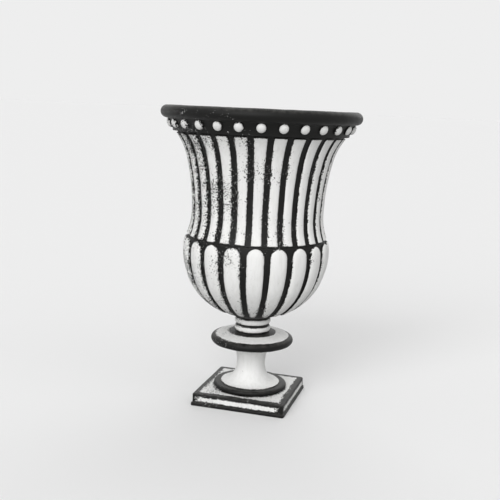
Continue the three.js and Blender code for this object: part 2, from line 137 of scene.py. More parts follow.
def build(name, points, faces):
    """A mesh object at the origin, with its place in its points."""
    mesh = bpy.data.meshes.new(name)
    mesh.from_pydata(np.asarray(points).tolist(), [], faces)
    piece = bpy.data.objects.new(name, mesh)
    bpy.context.scene.collection.objects.link(piece)
    return piece


def joined(skins):
    """Several skins as one list of points and one of faces."""
    points, faces = [], []
    for more_points, more_faces in skins:
        faces += [[corner + len(points) for corner in face] for face in more_faces]
        points += more_points.tolist()
    return points, faces


def even_angles(count):
    return np.arange(count) * tau / count


def ring_at(radius, height, angles):
    """One ring of points. Radius and height may be one number or one for each angle."""
    level = np.full(len(angles), height)
    return np.stack([radius * np.cos(angles), radius * np.sin(angles), level], axis=-1)


print("a skin of 3 rings of 8 points has", len(skin(np.zeros((3, 8, 3)))[1]), "faces")

# %% [markdown]
# ## Outlines for turned pieces
#
# Stem, knop, collar and rim are turned shapes, so each is an outline of radius and height. Curves are arcs
# of an ellipse. Cast iron has no knife edges, because the sand would crumble, so every sharp corner of an
# outline is eased with a small curve. Long straight stretches get points in between, which the unevenness
# of the casting needs later.

# %% Outlines for turned pieces
def arc(centre, radii, start, end, steps):
    """Points on an elliptic arc, angles in degrees from the outward direction."""
    angles = np.radians(np.linspace(start, end, steps + 1))
    return [(centre[0] + radii[0] * math.cos(a), centre[1] + radii[1] * math.sin(a)) for a in angles]


def eased(outline, radius, steps=3):
    """The closed outline with a small curve in place of each sharp corner."""
    blunt = math.radians(155)
    cuts_per_side = 2.2  # two cuts, and a little of the side left between them
    points = []
    for i, point in enumerate(outline):
        corner = Vector(point)
        back = Vector(outline[i - 1]) - corner
        ahead = Vector(outline[(i + 1) % len(outline)]) - corner
        if back.angle(ahead) > blunt:
            points.append(corner)
            continue
        cut = min(radius, back.length / cuts_per_side, ahead.length / cuts_per_side)
        start, end = corner + back.normalized() * cut, corner + ahead.normalized() * cut
        for t in np.linspace(0, 1, steps + 1):
            points.append(start * (1 - t) ** 2 + corner * 2 * t * (1 - t) + end * t**2)
    return [(point[0], point[1]) for point in points]


def filled(outline, longest, closed=True):
    """The outline with points put in wherever two neighbours lie further apart than longest."""
    points = []
    for i, point in enumerate(outline):
        after = outline[(i + 1) % len(outline)] if closed or i + 1 < len(outline) else point
        parts = max(1, math.ceil(math.dist(point, after) / longest))
        for t in np.arange(parts) / parts:
            points.append((point[0] + (after[0] - point[0]) * t, point[1] + (after[1] - point[1]) * t))
    return points


def turned(name, outline, around=192, ease=0.8 * mm, longest=5 * mm):
    """A casting turned from a closed outline, which runs up the outside and down the inside."""
    angles = even_angles(around)
    rings = [ring_at(r, z, angles) for r, z in filled(eased(outline, ease), longest)]
    piece = build(name, *skin(rings))
    print(f"{name}: {len(rings)} rings of {around} points")
    return piece


# %% [markdown]
# ## Levels and widths from the frame
#
# The levels at which the castings meet come from the boxes of the frame's nodes. What a box can't say,
# such as a wall or a groove inside it, is written here once, as on the founder's drawing.

# %% Levels and widths from the frame
seat_gap = 0.3 * mm
register_gap = 0.4 * mm  # round the low ring that centres one casting in the next
register_height = 4 * mm
drain_room = 15.6 * mm  # from the rod's washer out to the edge of the boss
boss_wall = 8.6 * mm
shoulder_step = 3 * mm


def level(node, top=False):
    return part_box(node)[1 if top else 0].z


def half_width(node):
    low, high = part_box(node)
    return (high.x - low.x) / 2


plinth_half = half_width("plinth")
foot_radius = half_width("stem")
knop_radius = half_width("knop")
collar_radius = half_width("collar")
rim_radius = half_width("rim")
boss_radius = half_width("rod_washer_top") + drain_room
collar_bore = boss_radius + register_gap
bore_radius = boss_radius - boss_wall
shoulder_radius = collar_radius + shoulder_step

stem_seat = level("stem")
plinth_top = stem_seat - seat_gap
knop_seat = level("knop")
collar_seat, collar_top = level("collar"), level("collar", top=True)
belly_seat, belly_top = collar_top + seat_gap, level("belly", top=True)
bell_seat, bell_top = level("bell"), level("bell", top=True)
rim_seat, rim_top = bell_top + seat_gap, level("rim", top=True)
stem_top = knop_seat - seat_gap
knop_top = collar_seat - seat_gap
widths = (foot_radius, knop_radius, collar_radius)
seams = (stem_seat, knop_seat, collar_seat, belly_seat, bell_seat, rim_seat)
print("foot, knop and collar, mm in radius:", [round(radius / mm) for radius in widths])
print("seams, mm up:", [round(seam / mm, 1) for seam in seams])

# %% [markdown]
# ## Stem
#
# The stem is a hollow trumpet. It sweeps out from a slender waist to a round moulding, the torus, that it
# stands on, and out again under the knop. A small step, the fillet, parts the sweep from the torus, as
# turned patterns have it, and gives the painter a line to stop at.

# %% Stem
torus = 6 * mm  # half the thickness of the round moulding
torus_reach = 20 * mm
stem_wall = 13 * mm  # at the waist
waist_rise = 65 * mm
fillet = 2 * mm
stem_head = 6 * mm

trumpet_foot = foot_radius - torus_reach
waist_radius = bore_radius + stem_wall
waist_level = stem_seat + waist_rise
foot_top = stem_seat + 2 * torus + fillet
sweep = (trumpet_foot - waist_radius, waist_level - foot_top)
head_sweep = (shoulder_radius - waist_radius, stem_top - stem_head - waist_level)
hollow_foot = stem_seat + register_height + seat_gap
stem_outline = [
    (trumpet_foot, stem_seat),
    *arc((foot_radius - torus, stem_seat + torus), (torus, torus), -90, 90, 16),
    (trumpet_foot + fillet, foot_top - fillet),
    (trumpet_foot + fillet, foot_top),
    *arc((trumpet_foot, waist_level), sweep, 270, 180, 30),
    *arc((shoulder_radius, waist_level), head_sweep, 180, 90, 18)[1:],
    (shoulder_radius, stem_top),
    (boss_radius, stem_top),
    (boss_radius, stem_top + register_height),
    (bore_radius, stem_top + register_height),
    *arc((trumpet_foot, waist_level), (trumpet_foot - bore_radius, waist_level - hollow_foot), 180, 270, 20),
]
stem = turned("stem_casting", stem_outline)

# %% [markdown]
# ## Knop and collar
#
# The knop is a thick lens with a round edge, between stem and bowl. The collar above it is a short tube
# with two round rings. Both are turned like the stem, and each sits over the low register ring below it.

# %% Knop and collar
knop_edge = 10 * mm  # half the thickness of the round edge
knop_middle = (knop_seat + knop_top) / 2
lens = (knop_radius - knop_edge - shoulder_radius, (knop_top - knop_seat) / 2 - knop_edge)
lens_slope = math.degrees(math.atan2(lens[1], lens[0]))
counterbore = knop_seat + register_height + seat_gap


def crowned(start, end, rise, steps=10):
    """Points from one to the other along a slightly swollen line."""
    points = []
    for t in np.linspace(0, 1, steps + 2)[1:-1]:
        swell = 4 * t * (1 - t) * rise
        points.append((start[0] + (end[0] - start[0]) * t, start[1] + (end[1] - start[1]) * t + swell))
    return points


lens_crown = 1.2 * mm
edge_turn = 90 - lens_slope
edge_arc = arc((knop_radius - knop_edge, knop_middle), (knop_edge, knop_edge), -edge_turn, edge_turn, 18)
knop_outline = [
    (collar_bore, knop_seat),
    (shoulder_radius, knop_seat),
    *crowned((shoulder_radius, knop_seat), edge_arc[0], -lens_crown),
    *edge_arc,
    *crowned(edge_arc[-1], (shoulder_radius, knop_top), lens_crown),
    (shoulder_radius, knop_top),
    (boss_radius, knop_top),
    (boss_radius, knop_top + register_height),
    (bore_radius, knop_top + register_height),
    (bore_radius, counterbore),
    (collar_bore, counterbore),
]
knop = turned("knop_casting", knop_outline)

collar_groove = 6 * mm
collar_rings = 2
collar_core = collar_radius - collar_groove
ring_pitch = (collar_top - collar_seat) / collar_rings
ring_fillet = 2 * mm
collar_outline = [(collar_bore, collar_seat)]
for i in range(collar_rings):
    ring_middle = collar_seat + (i + 0.5) * ring_pitch
    collar_outline.append((collar_core, collar_seat + i * ring_pitch))
    ring_radii = (collar_groove, ring_pitch / 2 - ring_fillet)
    collar_outline += arc((collar_core, ring_middle), ring_radii, -90, 90, 14)
collar_outline += [(collar_core, collar_top), (collar_bore, collar_top)]
collar = turned("collar_casting", collar_outline, ease=0.4 * mm)

# %% [markdown]
# ## Raised bands
#
# Bell and belly carry raised bands, called reeds on the bell and lobes on the belly. One band has the
# section of a loaf: a broad crown that turns down steeply at both sides. The points across it lie closer
# together towards the sides, where it bends most, and a few more points carry the plain ground between
# two bands. Each row of the skin can narrow the bands or lower them, which shapes their ends. A lobe, a reed
# and a bead stand one over another at the place where the first band is counted from.

# %% Raised bands
half_section = np.array([0, 0.25, 0.5, 0.68, 0.8, 0.88, 0.94, 0.98, 1])
across = np.concatenate([-half_section[:0:-1], half_section])
crown = np.sqrt(1 - np.abs(across) ** 3)
ground_shares = np.array([0.25, 0.5, 0.75])
first_band = math.radians(15) - math.pi / 2  # 15 degrees round from the front
print("heights from a band's middle to its side:", crown[len(half_section) - 1 :].round(2).tolist())


def band_row(count, half_angle):
    """Angles round the axis for a row of bands, and the share of the bands' height at each."""
    pitch = tau / count
    gap = pitch - 2 * half_angle
    once = np.concatenate([across * half_angle, half_angle + gap * ground_shares])
    shares = np.concatenate([crown, np.zeros(len(ground_shares))])
    angles = first_band + np.arange(count)[:, None] * pitch + once[None, :]
    return angles.ravel(), np.tile(shares, count)


# %% [markdown]
# ## Belly
#
# The belly is the lower half of a ball and a little more, with twenty lobes on it. A lobe rises from a
# rounded tip at the neck and ends below the seam in a round arch. Inside it is a plain ball with a flat
# floor, where the tie rod's nut sits, and a flange at the top that the bell is bolted to.

# %% Belly: its ball and its lobes
belly_radius = 187 * mm
lobe_count = 20
lobe_relief = 9 * mm
lobe_gap = 13 * mm
lobe_tip_gap = 9 * mm
lobe_margin = 2.5 * mm
lobe_foot_margin = 42 * mm
lobe_tip_rise = 14 * mm
lobe_tip_relief = 0.45
seam_rise = 34 * mm
ball = belly_radius - lobe_relief
ball_middle = belly_top - seam_rise

neck_angle = math.asin(collar_radius / ball)  # up from straight down, as are the angles below
seam_angle = math.pi / 2 + math.asin(seam_rise / ball)
tip_end = neck_angle + lobe_foot_margin / ball
tip_top = tip_end + lobe_tip_rise / ball
arch_top = seam_angle - lobe_margin / ball
springing = arch_top - (tau * ball / lobe_count - lobe_gap) / 2 / ball

# each row: its angle, then the share of a lobe's width and of its relief that it has
belly_rows = [(up, 1, 0) for up in np.linspace(neck_angle, tip_end, 12)]
for t in np.sin(np.linspace(0.05, 1, 9) * math.pi / 2) ** 2:
    width = math.sqrt(1 - (1 - t) ** 2)
    belly_rows.append((tip_end + (tip_top - tip_end) * t, width, lobe_tip_relief * width))
for t in np.linspace(0, 1, 41)[1:]:
    relief = lobe_tip_relief + (1 - lobe_tip_relief) * min(1, 2 * t)
    belly_rows.append((tip_top + (springing - tip_top) * t, 1, relief))
for t in np.sin(np.linspace(0, 0.99, 20)[1:] * math.pi / 2):
    width = math.sqrt(1 - t**2)
    belly_rows.append((springing + (arch_top - springing) * t, width, math.sqrt(width)))
belly_rows += [(up, 1, 0) for up in np.linspace(arch_top, seam_angle, 4)]

belly_rings = []
for up, width, relief in belly_rows:
    climbed = min(1, max(0, (up - neck_angle) / (springing - neck_angle)))
    gap = lobe_tip_gap + (lobe_gap - lobe_tip_gap) * climbed
    half_angle = (math.pi / lobe_count - gap / 2 / (ball * math.sin(up))) * width
    angles, shares = band_row(lobe_count, half_angle)
    reach = ball + shares * relief * lobe_relief
    belly_rings.append(ring_at(reach * math.sin(up), ball_middle - reach * math.cos(up), angles))
print(f"belly: {len(belly_rings)} rows of {len(belly_rings[0])} points over a ball of {ball / mm:.0f} mm")

# %% Belly: its inside
bowl_wall = 6 * mm
flange_height = 9 * mm
flange_edge = 10 * mm  # from a flange's bore out to the middles of its bolts
rod_clearance = 0.5 * mm
floor_wall = 12 * mm

flange_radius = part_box("waist_bolt_2")[0].x + half_width("waist_bolt_2") - flange_edge
rod_hole = half_width("tie_rod") + rod_clearance
belly_floor = belly_seat + floor_wall
hollow = ball - bowl_wall
hollow_from = math.degrees(math.asin((belly_floor - ball_middle) / hollow))
hollow_to = math.degrees(math.asin((belly_top - flange_height - ball_middle) / hollow))
inside = arc((0, ball_middle), (hollow, hollow), hollow_to, hollow_from, 40)
ground_at_seam = ball * math.sin(seam_angle)
seam_ease = 0.6 * mm
belly_path = [
    (flange_radius, belly_top),
    (flange_radius, belly_top - flange_height),
    *inside,
    (rod_hole, belly_floor),
    (rod_hole, belly_seat - register_height),
    (boss_radius, belly_seat - register_height),
    (boss_radius, belly_seat),
    (collar_radius, belly_seat),
]
neck_path = [(collar_radius, belly_seat + seam_ease), (collar_radius, belly_seat + 2 * seam_ease)]
belly_rings[-1][:, 2] -= seam_ease
seam_path = [(ground_at_seam - seam_ease, belly_top)]
for r, z in seam_path + filled(belly_path, 6 * mm, closed=False) + neck_path:
    belly_rings.append(ring_at(r, z, angles))
belly = build("belly_casting", *skin(belly_rings))
print(f"belly: bolting flange {flange_radius / mm:.1f} mm in radius, floor at {belly_floor / mm:.1f} mm")

# %% [markdown]
# ## Bell
#
# The bell is the upper half of the bowl. Its outline is three arcs that run into each other: in to the
# waist, a long slack one above it, and a tight one that flares out under the rim. Twenty-eight reeds run up
# it and stop short of both seams, with squared ends.

# %% Bell
bell_height = bell_top - bell_seat
waist_height = 62 * mm
waist_draw = 13 * mm
body_bend = 560 * mm
flare_height = 62 * mm
flare_bend = 165 * mm
reed_count = 28
reed_relief = 6 * mm
reed_gap = 12.5 * mm
reed_margin = 3 * mm
reed_draft = 3 * mm

bell_waist = ground_at_seam + reed_relief - waist_draw
skirt_bend = (waist_height**2 + waist_draw**2) / (2 * waist_draw)
flare_start = bell_height - flare_height


def bell_radius(height):
    """Radius over the reeds, at a height above the seam."""
    rise = min(height, flare_start) - waist_height
    bend = body_bend if rise > 0 else skirt_bend
    body = bell_waist + bend - math.sqrt(bend**2 - rise**2)
    if height <= flare_start:
        return body
    start_sine = rise / bend
    sine = start_sine + (height - flare_start) / flare_bend
    return body + flare_bend * (math.sqrt(1 - start_sine**2) - math.sqrt(1 - sine**2))


ends = np.sin(np.linspace(0, 1, 7) * math.pi / 2)  # how a reed's end rises from the ground
reed_low, reed_high = reed_margin + reed_draft, bell_height - reed_margin - reed_draft
end_rows = [(seam_ease, 0), (reed_margin / 2, 0)]
end_rows += [(reed_margin + reed_draft * (1 - math.sqrt(1 - rise**2)), rise) for rise in ends]
bell_rows = end_rows + [(height, 1) for height in np.linspace(reed_low, reed_high, 62)[1:-1]]
bell_rows += [(bell_height - height, rise) for height, rise in reversed(end_rows)]

bell_rings = []
for height, rise in bell_rows:
    ground = bell_radius(height) - reed_relief
    half_angle = math.pi / reed_count - reed_gap / 2 / ground
    angles, shares = band_row(reed_count, half_angle)
    bell_rings.append(ring_at(ground + shares * rise * reed_relief, bell_seat + height, angles))

top_flange_radius = half_width("rim_screw_1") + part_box("rim_screw_2")[0].x - flange_edge
bell_path = [
    (bell_radius(bell_height) - reed_relief - seam_ease, bell_top),
    (top_flange_radius, bell_top),
    (top_flange_radius, bell_top - flange_height),
    *[
        (bell_radius(height) - reed_relief - bowl_wall, bell_seat + height)
        for height in np.linspace(bell_height - flange_height, flange_height, 50)
    ],
    (flange_radius, bell_seat + flange_height),
    (flange_radius, bell_seat),
    (ground_at_seam - seam_ease, bell_seat),
]
bell_rings += [ring_at(r, z, angles) for r, z in bell_path]
bell = build("bell_casting", *skin(bell_rings))
print(f"bell: {len(bell_rows)} rows over {reed_count} reeds, top flange {top_flange_radius / mm:.1f} mm")

# %% [markdown]
# ## Rim
#
# The rim is one casting: a round lip that overhangs a hollow band, with a ledge inside that it is screwed
# down by and a spigot that centres it in the bell. Apart from its beads it stays black.

# %% Rim
lip = 16 * mm  # half the height of the round lip
lip_under = 1 * mm
lip_land = 15 * mm
lip_arris = 6 * mm
band_sag = 3 * mm
band_ledge = 5 * mm  # how far the band's foot stands out over the reeds
band_lift = 2 * mm
rim_wall = 7 * mm
spigot_wall = 7 * mm
ledge_height = 10 * mm
band_foot = (bell_radius(bell_height) + band_ledge, rim_seat + band_lift)
band_head = (rim_radius - lip - lip_under, rim_top - 2 * lip)
band_run = (band_head[0] - band_foot[0], band_head[1] - band_foot[1])


def on_band(t):
    """A point of the band's hollow face, from its foot at 0 to its head at 1."""
    dip = band_sag * math.sin(math.pi * t) / math.hypot(*band_run)
    return (
        band_foot[0] + band_run[0] * t - band_run[1] * dip,
        band_foot[1] + band_run[1] * t + band_run[0] * dip,
    )


land_inner = rim_radius - lip - lip_land
ledge = rim_seat + ledge_height
spigot_outer = top_flange_radius - register_gap
spigot_inner = spigot_outer - spigot_wall
rim_outline = [
    (spigot_outer, rim_seat),
    (band_foot[0], rim_seat),
    *[on_band(t) for t in np.linspace(0, 1, 16)],
    *arc((rim_radius - lip, rim_top - lip), (lip, lip), -90, 90, 32),
    (land_inner, rim_top),
    (land_inner - lip_arris, rim_top - lip_arris),
    (band_foot[0] - rim_wall, ledge),
    (spigot_inner, ledge),
    (spigot_inner, rim_seat - register_height),
    (spigot_outer, rim_seat - register_height),
]
rim = turned("rim_casting", rim_outline, around=288)

# %% [markdown]
# ## Beads
#
# Twenty-eight oval beads stand on the band, one over each reed. They are cast with the rim, but they are
# painted white, so they are a piece of their own here. A bead is a dome whose sides turn down steeply, and
# its flat back lies a little inside the band.

# %% Beads
bead_half_width = 11.5 * mm
bead_half_height = 12.5 * mm
bead_lift = 3 * mm  # above the middle of the band
bead_relief = 10 * mm
bead_back = 2 * mm
bead_around = 32
bead_fullness = 2.6  # 2 would be an ellipse, and more is squarer
lean = math.atan2(band_run[0], band_run[1])
bead_shares = np.sin(np.linspace(1, 0.04, 14) * math.pi / 2)  # from the bead's edge in to its crown

bead_rings = [(1, -bead_back)]
bead_rings += [(share, bead_relief * math.sqrt(1 - share**bead_fullness)) for share in bead_shares]
bead_skins = []
base_radius, base_level = on_band(0.5 + bead_lift / math.hypot(*band_run))
for i in range(reed_count):
    turn = Matrix.Rotation(first_band + i * tau / reed_count, 3, "Z")
    facing = turn @ Matrix.Rotation(lean, 3, "Y")
    base = turn @ Vector((base_radius, 0, base_level))
    rings = []
    for share, height in bead_rings:
        ring = []
        for angle in even_angles(bead_around):
            sideways, upwards = bead_half_width * math.cos(angle), bead_half_height * math.sin(angle)
            ring.append(base + facing @ Vector((height, sideways * share, upwards * share)))
        rings.append(ring)
    bead_skins.append(skin(rings, closed=False))
beads = build("rim_beads", *joined(bead_skins))
print(f"{reed_count} beads, leaning {math.degrees(lean):.0f} degrees with the band")

# %% [markdown]
# ## Plinth
#
# The plinth is a square shell, open below. Its skin is made of rings too: rounded squares outside, which
# turn into circles on the top plate, where a low ring centres the stem and a hole lets the tie rod
# through. Points on the circles keep the directions of the points on the squares.

# %% Plinth
corner_radius = 5 * mm
side_steps = 26
corner_steps = 6
plinth_plate = 9 * mm
plinth_wall = 9 * mm
foot_ease = 1 * mm
band_step = 3 * mm
band_face = (0.8 * mm, 3.2 * mm)  # the lowest and highest level of the band's upright face
band_curve = (5.2 * mm, 3.8 * mm)  # the level and height of the curve from the band in to the die
die_foot = 10 * mm
arris = 4 * mm
register_width = 10 * mm
die_half = plinth_half - band_step
pocket_half = die_half - plinth_wall
pocket_top = plinth_top - plinth_plate


def square_ring(half, height):
    """A rounded square of points, which starts at the middle of the corner at +X +Y."""
    ring = []
    for quarter in range(4):
        reach = (half - corner_radius) * math.sqrt(2)
        turned_by = (quarter + 0.5) * math.pi / 2
        x, y = reach * math.cos(turned_by), reach * math.sin(turned_by)
        for angle in np.linspace(quarter, quarter + 1, corner_steps + 1) * math.pi / 2:
            ring.append((x + corner_radius * math.cos(angle), y + corner_radius * math.sin(angle), height))
        start = Vector(ring[-1])
        end = Matrix.Rotation(math.pi / 2, 3, "Z") @ Vector(ring[-corner_steps - 1])
        ring += [tuple(start.lerp(end, t)) for t in np.linspace(0, 1, side_steps + 1)[1:-1]]
    return np.array(ring)


band_arc = arc((-foot_ease, band_curve[0]), (band_step + foot_ease, band_curve[1]), 10, 76, 6)
outside = [(pocket_half + foot_ease, 0), (plinth_half - foot_ease, 0)]
outside += [(plinth_half, z) for z in band_face]
outside += [(die_half + r, z) for r, z in band_arc]
outside += [(die_half, z) for z in np.linspace(die_foot, plinth_top - arris, 8)]
outside += [(die_half - arris + r, z) for r, z in arc((0, plinth_top - arris), (arris, arris), 15, 90, 6)]
plinth_rings = [square_ring(half, z) for half, z in outside]

stem_ring = trumpet_foot - register_gap
circles = [
    (stem_ring, plinth_top, 8),
    (stem_ring, plinth_top + register_height, 3),
    (stem_ring - register_width, plinth_top + register_height, 3),
    (stem_ring - register_width, plinth_top, 3),
    (rod_hole, plinth_top, 3),
    (rod_hole, pocket_top, 3),
]
square = square_ring(die_half, 0)
directions = np.arctan2(square[:, 1], square[:, 0])
stops = [(ring_at(radius, height, directions), steps) for radius, height, steps in circles]
stops += [(square_ring(pocket_half, pocket_top), 16), (square_ring(pocket_half, foot_ease), 5)]
for stop, steps in stops:
    start = plinth_rings[-1]
    plinth_rings += [start + (stop - start) * t for t in np.linspace(0, 1, steps + 1)[1:]]
plinth = build("plinth_casting", *skin(plinth_rings))
print(f"plinth: {len(plinth_rings)} rings of {len(square)} points")

# %% [markdown]
# ## Drilled holes
#
# Bolt, screw and drain holes are cut with a Boolean modifier, all the holes of a casting at once. The
# holes are few and small next to a casting, so a cut by closed bars is simpler than leading the rings
# round them.

# %% Drilled holes
hole_points = 32
through = 1 * mm  # how far a cutting bar stands out at each end
ring_of_bolts = range(1, 7)  # the numbers of the bolts, nuts or screws of a joint
drain_radius = 4.5 * mm
drain_margin = 2.5 * mm  # between the washer and the drain holes
bolt_clear, screw_clear, screw_tapped = 5.5 * mm, 4.5 * mm, 4.3 * mm  # radii of the holes


def bars(places, radius, low, high):
    """Points and faces of upright bars at some places."""
    ring = ring_at(radius, 0, even_angles(hole_points))
    ends = (low - through, high + through)
    return joined(skin([ring + [x, y, end] for end in ends], closed=False) for x, y in places)


def drill(piece, *cuts):
    """Cuts upright holes through a piece. Each cut is its places, its radius, and its two levels."""
    before = len(piece.data.polygons)
    for cut in cuts:
        cutter = build("cutter", *bars(*cut))
        holes = piece.modifiers.new("holes", "BOOLEAN")
        holes.operation = "DIFFERENCE"
        holes.solver = "MANIFOLD"
        holes.object = cutter
        bpy.context.view_layer.update()
        drilled = piece.evaluated_get(bpy.context.evaluated_depsgraph_get())
        mesh = bpy.data.meshes.new_from_object(drilled)
        piece.modifiers.clear()
        piece.data = mesh
        mesh.name = piece.name
        bpy.data.objects.remove(cutter)
    print(f"{piece.name}: {before} faces before drilling, {len(piece.data.polygons)} after")


def middles(node):
    """Where the numbered copies of a fastener stand."""
    corners = [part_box(f"{node}_{i}") for i in ring_of_bolts]
    return [((low.x + high.x) / 2, (low.y + high.y) / 2) for low, high in corners]


drain_circle = half_width("rod_washer_top") + drain_margin + drain_radius
drains = [(drain_circle * math.cos(a), drain_circle * math.sin(a)) for a in even_angles(4) + tau / 8]
bolt_holes, screw_holes = middles("waist_bolt"), middles("rim_screw")
drill(plinth, (drains, drain_radius, pocket_top, plinth_top))
drill(
    belly,
    (drains, drain_radius, belly_seat - register_height, belly_floor),
    (bolt_holes, bolt_clear, belly_top - flange_height, belly_top),
)
drill(
    bell,
    (bolt_holes, bolt_clear, bell_seat, bell_seat + flange_height),
    (screw_holes, screw_tapped, bell_top - flange_height, bell_top),
)
drill(rim, (screw_holes, screw_clear, rim_seat, ledge))

# %% [markdown]
# ## Threads and hexagons
#
# Bolts, screws, nuts, washers and the tie rod are stacks of rings like the castings. A hexagon is a ring
# whose radius swings between its flats and its corners, and the turner's chamfer cuts its corners back
# where they rise past a shallow cone. A thread is a stack of rings whose radius rises and falls with the
# height, a little later at each point round, which winds it into a helix.

# %% Threads and hexagons
wrench_points = 36
wrench_angles = even_angles(wrench_points) - math.pi / 2
chamfer_slope = math.tan(math.radians(30))
chamfer_circle = 0.95  # the circle left on a hexagon's face, in shares of its width across flats
thread_depth = 0.6  # in shares of the pitch
rings_per_turn = 6


def hexagon_rings(across, low, high, chamfers=(True, True)):
    """Rings up the side of a hexagon, from the edge of its lower face to the edge of its upper face."""
    off_flat = (wrench_angles + math.pi / 2) % (tau / 6) - tau / 12
    reach = across / 2 / np.cos(off_flat)
    face_radius = chamfer_circle * across / 2
    cut = (reach - face_radius) * chamfer_slope
    rings = []
    for level_here, chamfered, direction in ((low, chamfers[0], 1), (high, chamfers[1], -1)):
        side = ring_at(reach, level_here + direction * cut * chamfered, wrench_angles)
        face = ring_at(face_radius, level_here, wrench_angles)
        rings += [face, side] if direction > 0 else [side, face]
    return rings


def thread_rings(radius, pitch, low, high, tapered):
    """Rings up a thread. Its low and its high end may be tapered, where a nut is started."""
    depth = thread_depth * pitch
    rings = []
    for z in np.linspace(low, high, round((high - low) / pitch * rings_per_turn) + 1):
        wave = np.abs(((z / pitch - wrench_angles / tau) % 1) * 2 - 1)
        thread = radius - depth * wave
        for tapers, room in ((tapered[0], z - low), (tapered[1], high - z)):
            if tapers:
                thread = np.minimum(thread, radius - depth + room)
        rings.append(ring_at(thread, z, wrench_angles))
    return rings


print("a hexagon's side takes", len(hexagon_rings(17 * mm, 0, 1)), "rings")

# %% [markdown]
# ## Fasteners
#
# Each fastener stands where the frame's box says, with the box's lowest and highest level, so nothing here
# can drift off its hole. Bolts and screws were run home by hand, and their heads stopped at any angle.

# %% Fasteners
turns = np.random.default_rng(12)
fasteners = {}
thread_length = 13 * mm  # on bolts and screws
rod_thread = 28 * mm  # at each end of the rod
bolt = {"shank": 5 * mm, "across": 17 * mm, "pitch": 1.5 * mm, "head": 6.4 * mm}
screw = {"shank": 4 * mm, "across": 13 * mm, "pitch": 1.25 * mm, "head": 5.3 * mm}
rod_pitch = 2 * mm
rod_nut_across = 24 * mm
rod_relief = 0.6 * mm  # how much thinner the rod is between its threads
bore_gap = 0.3 * mm  # between a thread and its nut or washer
washer_ease = 0.4 * mm
washer_bore_ease = 0.6 * mm


def stand_at(node, rings, closed, turn=0.0):
    """Makes a fastener on the axis, turns it and moves it to its node's place."""
    low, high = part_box(node)
    points, faces = skin(rings, closed=closed)
    spin = np.array(Matrix.Rotation(turn, 3, "Z"))
    points = points @ spin.T + [(low.x + high.x) / 2, (low.y + high.y) / 2, 0]
    fasteners[node] = build(node + "_threaded", points, faces)


def headed(node, turn, shank, across, pitch, head):
    """A hexagon-headed bolt or screw, threaded at its end."""
    low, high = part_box(node)
    under = high.z - head
    rings = thread_rings(shank, pitch, low.z, low.z + thread_length, (True, False))
    rings += [ring_at(shank, z, wrench_angles) for z in (low.z + thread_length + pitch, under)]
    rings += hexagon_rings(across, under, high.z, (False, True))
    stand_at(node, rings, False, turn)


def bored(node, side, hole, ease, turn=0.0):
    """A nut or a washer: the rings of its side over a bore, whose ends are eased."""
    low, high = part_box(node)
    bore = [(hole + ease, high.z), (hole, high.z - ease), (hole, low.z + ease), (hole + ease, low.z)]
    stand_at(node, side + [ring_at(radius, z, wrench_angles) for radius, z in bore], True, turn)


def nut(node, turn, thread_radius, across, pitch):
    low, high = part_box(node)
    side = hexagon_rings(across, low.z, high.z)
    bored(node, side, thread_radius + bore_gap, thread_depth * pitch, turn)


def washer(node, thread_radius):
    low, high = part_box(node)
    outer, face = half_width(node), half_width(node) - washer_ease
    outline = [(face, low.z), (outer, low.z + washer_ease), (outer, high.z - washer_ease), (face, high.z)]
    side = [ring_at(radius, z, wrench_angles) for radius, z in outline]
    bored(node, side, thread_radius + bore_gap, washer_bore_ease)


for i in ring_of_bolts:
    bolt_turn, nut_turn, screw_turn = turns.uniform(0, tau, 3)
    headed(f"waist_bolt_{i}", bolt_turn, **bolt)
    nut(f"waist_nut_{i}", nut_turn, bolt["shank"], bolt["across"], bolt["pitch"])
    headed(f"rim_screw_{i}", screw_turn, **screw)

rod_radius = half_width("tie_rod")
for end in ("top", "bottom"):
    washer(f"rod_washer_{end}", rod_radius)
    nut(f"rod_nut_{end}", turns.uniform(0, tau), rod_radius, rod_nut_across, rod_pitch)
rod_low, rod_high = level("tie_rod"), level("tie_rod", top=True)
shank_ends = (rod_low + rod_thread + rod_pitch, rod_high - rod_thread - rod_pitch)
rod_rings = thread_rings(rod_radius, rod_pitch, rod_low, rod_low + rod_thread, (True, False))
rod_rings += [ring_at(rod_radius - rod_relief, z, wrench_angles) for z in shank_ends]
rod_rings += thread_rings(rod_radius, rod_pitch, rod_high - rod_thread, rod_high, (False, True))
stand_at("tie_rod", rod_rings, False)
print(len(fasteners), "fasteners, with", sum(len(f.data.polygons) for f in fasteners.values()), "faces")

# %% [markdown]
# ## Unevenness of the castings
#
# Sand castings are never quite true: their faces wander by a few tenths of a millimetre. The mean of nine
# slow waves pushes each point inwards by that much. It only ever pushes inwards, so no casting grows past
# its place, and the plinth keeps the flat rim that it stands on.

# %% Unevenness of the castings
castings = [plinth, stem, knop, collar, belly, bell, rim]
wave_count = 9
wave_source = np.random.default_rng(3)
wave_directions = wave_source.normal(size=(wave_count, 3))
wave_directions /= np.linalg.norm(wave_directions, axis=1)[:, None]
wave_lengths = wave_source.uniform(24 * mm, 110 * mm, wave_count)
wave_starts = wave_source.uniform(0, tau, wave_count)
unevenness = 0.7 * mm
flat_foot = 0.5 * mm  # points below this level stay where they are


def vectors_of(collection, name):
    """A list of Blender's vectors as rows of three numbers."""
    found = np.empty(len(collection) * 3)
    collection.foreach_get(name, found)
    return found.reshape(-1, 3)


def points_of(piece):
    return vectors_of(piece.data.vertices, "co")


def normals_of(piece):
    return vectors_of(piece.data.vertex_normals, "vector")


for casting in castings:
    points = points_of(casting)
    waves = np.sin(points @ wave_directions.T * (tau / wave_lengths) + wave_starts).mean(axis=1)
    push = unevenness * np.clip(0.5 + waves, 0, 1)
    push[points[:, 2] < flat_foot] = 0
    points -= normals_of(casting) * push[:, None]
    casting.data.vertices.foreach_set("co", points.ravel())
    casting.data.update()
    print(f"{casting.name}: pushed in by {push.mean() / mm:.2f} mm on average")

